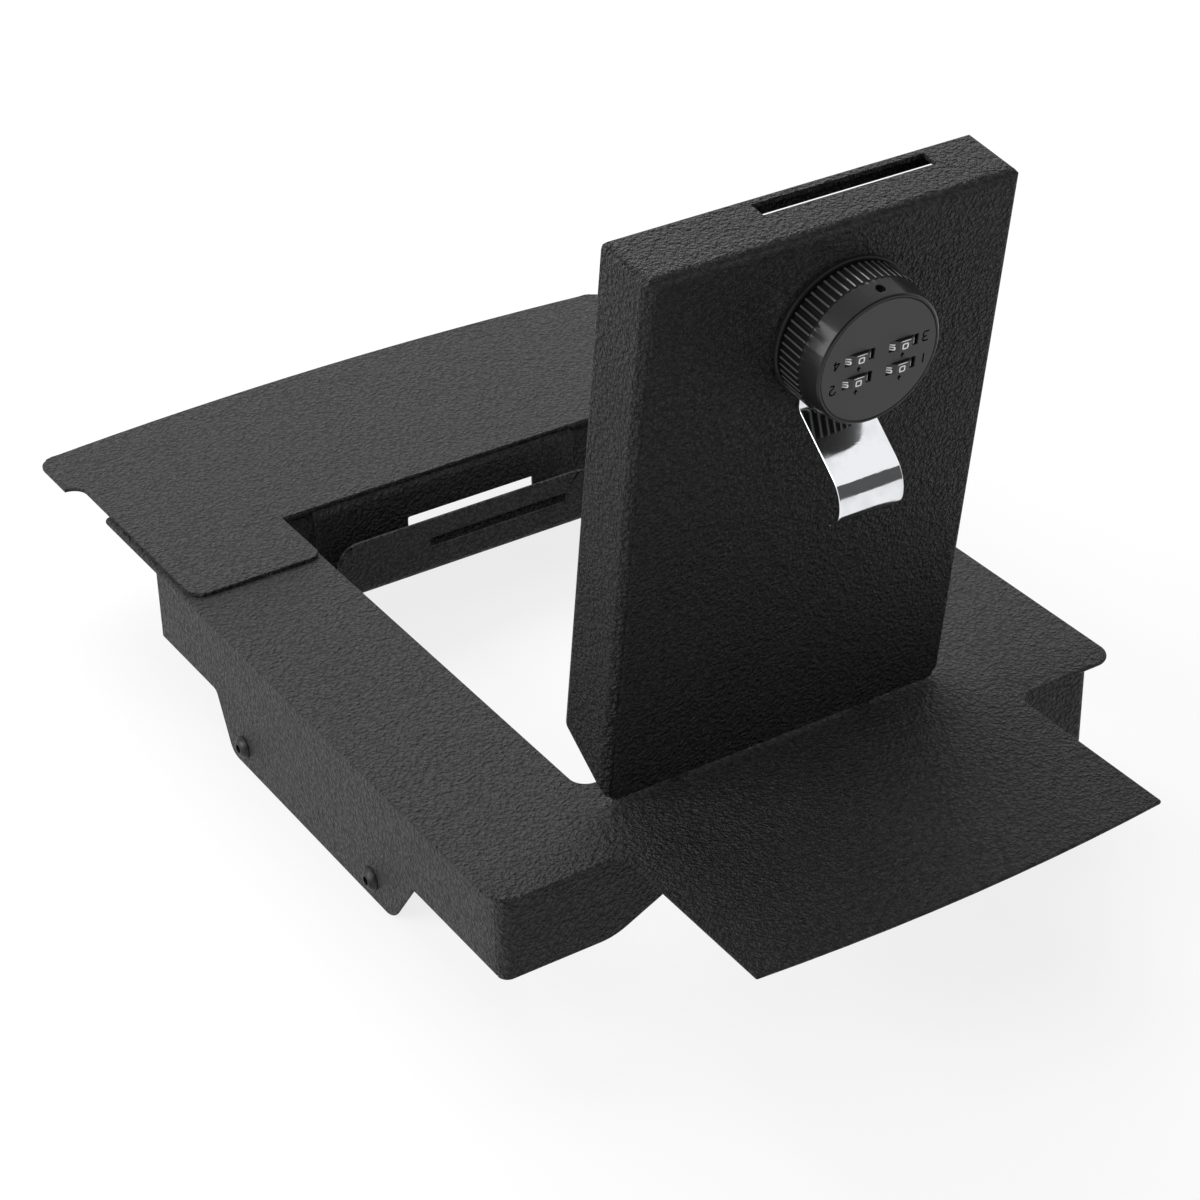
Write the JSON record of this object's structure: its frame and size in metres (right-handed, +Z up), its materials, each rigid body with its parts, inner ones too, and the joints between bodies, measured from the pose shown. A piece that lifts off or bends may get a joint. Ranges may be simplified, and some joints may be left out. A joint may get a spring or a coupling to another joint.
{
  "type": "console safe",
  "caption": "Folded steel console safe with a pan lid on hidden goose-neck hinges, a fluted combination knob that swings a latch cam, and a bright finger pull.",
  "frame": {"origin": "middle of the overall box on the floor the two side tabs stand on", "axes": "+X to the right seen from the hinge side, +Y from the hinge side to the latch side, +Z up; the lid rests open"},
  "size_m": [0.334, 0.5432, 0.3326],
  "materials": {
    "frame_coat": "fine-textured dark grey powder coat on folded steel",
    "lid_coat": "fine-textured near-black powder coat on folded steel",
    "hinge_coat": "dark grey powder coat over steel bar and bracket",
    "zinc": "zinc-plated steel",
    "black_screw": "black oxide screw steel",
    "chrome": "bright chrome plate on steel strip",
    "knob_black": "satin black finish on turned metal",
    "knob_plate": "matt dark grey plate",
    "cradle": "matt black moulding",
    "wheel_black": "satin black moulding"
  },
  "bodies": {
    "frame": {"top_plate": "frame_coat", "left_skirt": "frame_coat", "front_skirt": "frame_coat", "right_skirt": "frame_coat", "rear_cover": "frame_coat", "latch_channel": "frame_coat", "hinge_bracket_left": "hinge_coat", "hinge_bracket_right": "hinge_coat", "hinge_pin_left": "zinc", "hinge_pin_right": "zinc", "hinge_pin_clips": "zinc", "side_screws": "black_screw", "side_nuts": "zinc"},
    "lid": {"lid_shell": "lid_coat", "hinge_arm_left": "hinge_coat", "hinge_arm_right": "hinge_coat", "pull": "chrome", "lock_collar": "knob_black", "lock_barrel": "zinc", "lock_washer": "zinc", "lock_nut": "zinc"},
    "knob": {"knob_shell": "knob_black", "knob_face": "knob_plate", "wheel_cradle": "cradle", "wheel_axle_left": "zinc", "wheel_axle_right": "zinc", "spindle": "zinc", "cam": "zinc", "cam_washer": "zinc", "cam_bolt": "black_screw", "set_screw": "black_screw"},
    "wheel_1": {"digit_wheel_1": "wheel_black"},
    "wheel_2": {"digit_wheel_2": "wheel_black"},
    "wheel_3": {"digit_wheel_3": "wheel_black"},
    "wheel_4": {"digit_wheel_4": "wheel_black"}
  },
  "joints": [
    {"name": "lid_hinge", "type": "hinge", "parent": "frame", "child": "lid", "pos_m": [0, -0.1304, 0.063], "axis": [1, 0, 0], "range_deg": [-98.2, 0]},
    {"name": "knob_turn", "type": "hinge", "parent": "lid", "child": "knob", "pos_m": [0.004, -0.16951, 0.28186], "axis": [0, -0.9898, -0.1426], "range_deg": [0, 90]},
    {"name": "wheel_1_turn", "type": "hinge", "parent": "knob", "child": "wheel_1", "pos_m": [0.0153, -0.1875, 0.27275], "axis": [0, -0.1426, 0.9898], "continuous": true},
    {"name": "wheel_2_turn", "type": "hinge", "parent": "knob", "child": "wheel_2", "pos_m": [-0.0057, -0.1875, 0.27275], "axis": [0, -0.1426, 0.9898], "continuous": true},
    {"name": "wheel_3_turn", "type": "hinge", "parent": "knob", "child": "wheel_3", "pos_m": [0.0153, -0.18903, 0.28334], "axis": [0, -0.1426, 0.9898], "continuous": true},
    {"name": "wheel_4_turn", "type": "hinge", "parent": "knob", "child": "wheel_4", "pos_m": [-0.0057, -0.18903, 0.28334], "axis": [0, -0.1426, 0.9898], "continuous": true}
  ]
}
